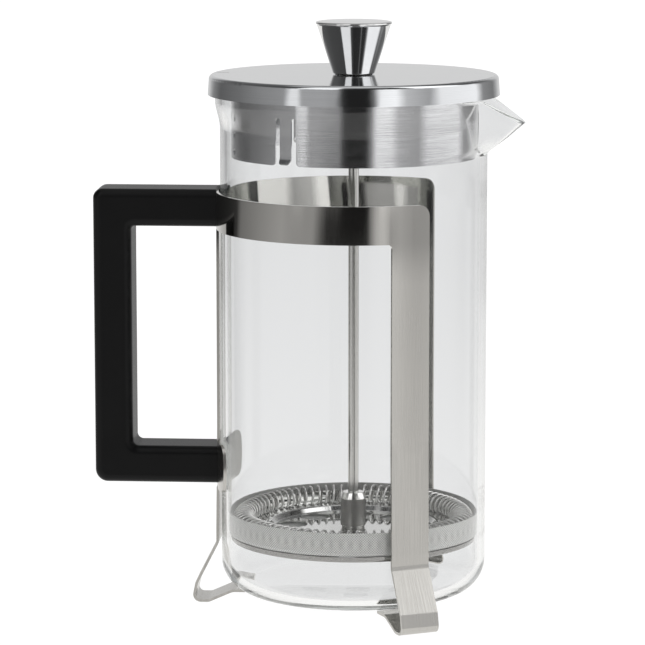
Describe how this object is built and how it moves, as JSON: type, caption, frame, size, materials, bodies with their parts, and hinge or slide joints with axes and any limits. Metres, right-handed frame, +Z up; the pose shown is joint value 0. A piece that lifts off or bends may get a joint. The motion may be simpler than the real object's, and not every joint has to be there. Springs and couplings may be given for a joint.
{
  "type": "french press coffee maker",
  "caption": "Coffee press: clear glass beaker with pouring lip in a three-legged stainless frame, black side handle, steel lid with knob, rod and spring-edged filter.",
  "frame": {"origin": "on the beaker's axis, in the plane of the table that the three feet stand on", "axes": "+Z up along the beaker's axis, +X towards the pouring spout, -X towards the handle, the object symmetric about the XZ plane"},
  "size_m": [0.1619, 0.1144, 0.2208],
  "materials": {
    "frame_steel": "satin brushed stainless sheet",
    "handle_plastic": "fine matte black",
    "fixing_steel": "bright steel",
    "insert_brass": "turned brass",
    "beaker_glass": "clear borosilicate glass",
    "bush_plastic": "smooth black",
    "lid_steel": "satin top, polished rim",
    "skirt_steel": "fine brushed around",
    "knob_chrome": "mirror polished",
    "rod_steel": "ground and polished",
    "hub_steel": "turned and polished",
    "filter_plate_steel": "pressed and polished",
    "spring_wire": "bright drawn wire",
    "mesh_steel": "fine woven mesh"
  },
  "bodies": {
    "frame": {"frame_hoop": "frame_steel", "rear_leg": "frame_steel", "handle": "handle_plastic", "upper_screw": "fixing_steel", "lower_screw": "fixing_steel", "upper_insert": "insert_brass", "lower_insert": "insert_brass"},
    "beaker": {"beaker": "beaker_glass"},
    "guide": {"guide_bush": "bush_plastic", "guide_ring": "fixing_steel"},
    "lid": {"lid_cap": "lid_steel", "lid_skirt": "skirt_steel"},
    "plunger": {"knob": "knob_chrome", "rod": "rod_steel", "hub": "hub_steel", "spring_plate": "filter_plate_steel", "coil_spring": "spring_wire", "mesh_screen": "mesh_steel", "mesh_eyelet": "fixing_steel", "cross_plate": "filter_plate_steel", "cross_boss": "hub_steel"}
  },
  "joints": [
    {"name": "beaker_lift", "type": "slide", "parent": "frame", "child": "beaker", "axis": [0, 0, 1], "range_m": [0, 0.2]},
    {"name": "lid_lift", "type": "slide", "parent": "beaker", "child": "guide", "axis": [0, 0, 1], "range_m": [0, 0.2]},
    {"name": "lid_turn", "type": "hinge", "parent": "guide", "child": "lid", "pos_m": [0, 0, 0.2], "axis": [0, 0, 1], "continuous": true},
    {"name": "plunger_slide", "type": "slide", "parent": "guide", "child": "plunger", "axis": [0, 0, 1], "range_m": [0, 0.133]}
  ]
}
